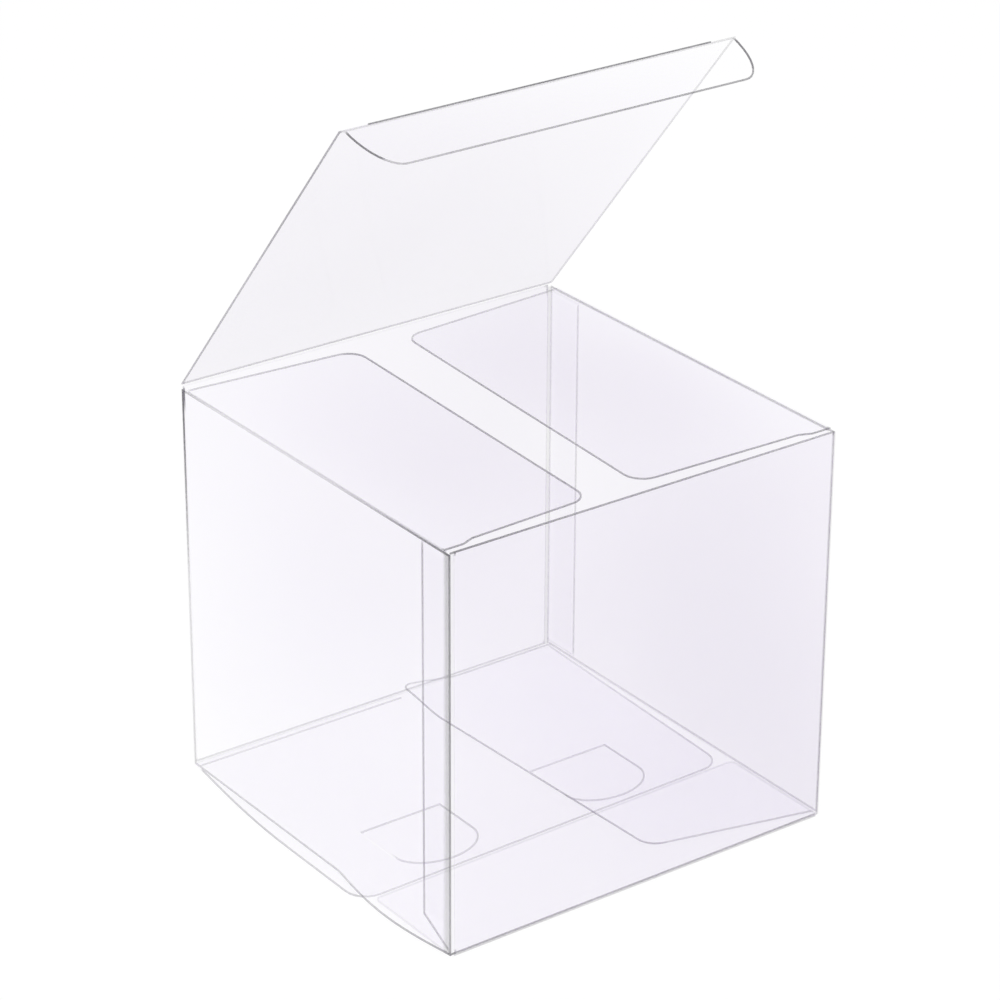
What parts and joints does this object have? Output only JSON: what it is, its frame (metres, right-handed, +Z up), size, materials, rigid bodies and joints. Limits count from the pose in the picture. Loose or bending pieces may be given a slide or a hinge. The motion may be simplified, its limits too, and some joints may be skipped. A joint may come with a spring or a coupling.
{
  "type": "clear plastic box",
  "caption": "Clear film folding gift box with a hinged tuck lid, dust flaps at the mouth and folding bottom flaps with lock tabs.",
  "frame": {"origin": "under the middle of the whole box's footprint, on the surface it stands on", "axes": "+X to the box's right, +Y to the back, where the lid is hinged, +Z up"},
  "size_m": [0.105, 0.102, 0.1733],
  "materials": {
    "clear_film": "glossy clear film, faint lavender tint",
    "folded_film": "glossy clear film bent round a corner",
    "crease_line": "film whitened along its fold line",
    "adhesive": "clear dried adhesive"
  },
  "bodies": {
    "sleeve": {"front_wall": "clear_film", "right_wall": "clear_film", "back_wall": "clear_film", "left_wall": "clear_film", "front_left_fold": "folded_film", "front_right_fold": "folded_film", "back_right_fold": "folded_film", "back_left_fold": "folded_film", "front_glue_flap": "clear_film", "back_glue_flap": "clear_film", "front_glue_line": "adhesive", "back_glue_line": "adhesive", "lid_crease": "crease_line", "left_dust_crease": "crease_line", "right_dust_crease": "crease_line", "front_bottom_crease": "crease_line", "back_bottom_crease": "crease_line", "right_bottom_crease": "crease_line"},
    "lid": {"lid_panel": "clear_film", "tuck_crease": "crease_line"},
    "tuck": {"tuck_flap": "clear_film"},
    "left_dust": {"left_dust_flap": "clear_film"},
    "right_dust": {"right_dust_flap": "clear_film"},
    "front_bottom": {"front_bottom_flap": "clear_film"},
    "back_bottom": {"back_bottom_flap": "clear_film", "left_lock_tab_crease": "crease_line", "right_lock_tab_crease": "crease_line"},
    "right_bottom": {"right_bottom_flap": "clear_film"},
    "left_tab": {"left_lock_tab": "clear_film"},
    "right_tab": {"right_lock_tab": "clear_film"}
  },
  "joints": [
    {"name": "lid_fold", "type": "hinge", "parent": "sleeve", "child": "lid", "pos_m": [0.00155, 0.05083, 0.0953], "axis": [-1, 0, 0], "range_deg": [-50.5, 129.5]},
    {"name": "tuck_fold", "type": "hinge", "parent": "lid", "child": "tuck", "pos_m": [0.00155, -0.01336, 0.17315], "axis": [-1, 0, 0], "range_deg": [-27.5, 69.7]},
    {"name": "left_dust_fold", "type": "hinge", "parent": "sleeve", "child": "left_dust", "pos_m": [-0.04881, 0, 0.0943], "axis": [0, -1, 0], "range_deg": [-85, 8.5]},
    {"name": "right_dust_fold", "type": "hinge", "parent": "sleeve", "child": "right_dust", "pos_m": [0.0519, 0, 0.0943], "axis": [0, 1, 0], "range_deg": [-85, 4.5]},
    {"name": "front_bottom_fold", "type": "hinge", "parent": "sleeve", "child": "front_bottom", "pos_m": [0.00155, -0.05083, 0.00017], "axis": [-1, 0, 0], "range_deg": [0, 110]},
    {"name": "back_bottom_fold", "type": "hinge", "parent": "sleeve", "child": "back_bottom", "pos_m": [0.00155, 0.05083, 0.00017], "axis": [1, 0, 0], "range_deg": [0, 110]},
    {"name": "right_bottom_fold", "type": "hinge", "parent": "sleeve", "child": "right_bottom", "pos_m": [0.0519, 0, 0.00118], "axis": [0, 1, 0], "range_deg": [0, 85]},
    {"name": "left_tab_fold", "type": "hinge", "parent": "back_bottom", "child": "left_tab", "pos_m": [-0.03595, -0.0037, 0.00017], "axis": [0, 1, 0], "range_deg": [0, 60]},
    {"name": "right_tab_fold", "type": "hinge", "parent": "back_bottom", "child": "right_tab", "pos_m": [0.01095, -0.0037, 0.00017], "axis": [0, 1, 0], "range_deg": [0, 60]}
  ],
  "couplings": [
    {"joint": "tuck_fold", "follows": "lid_fold", "ratio": 0.53465}
  ]
}
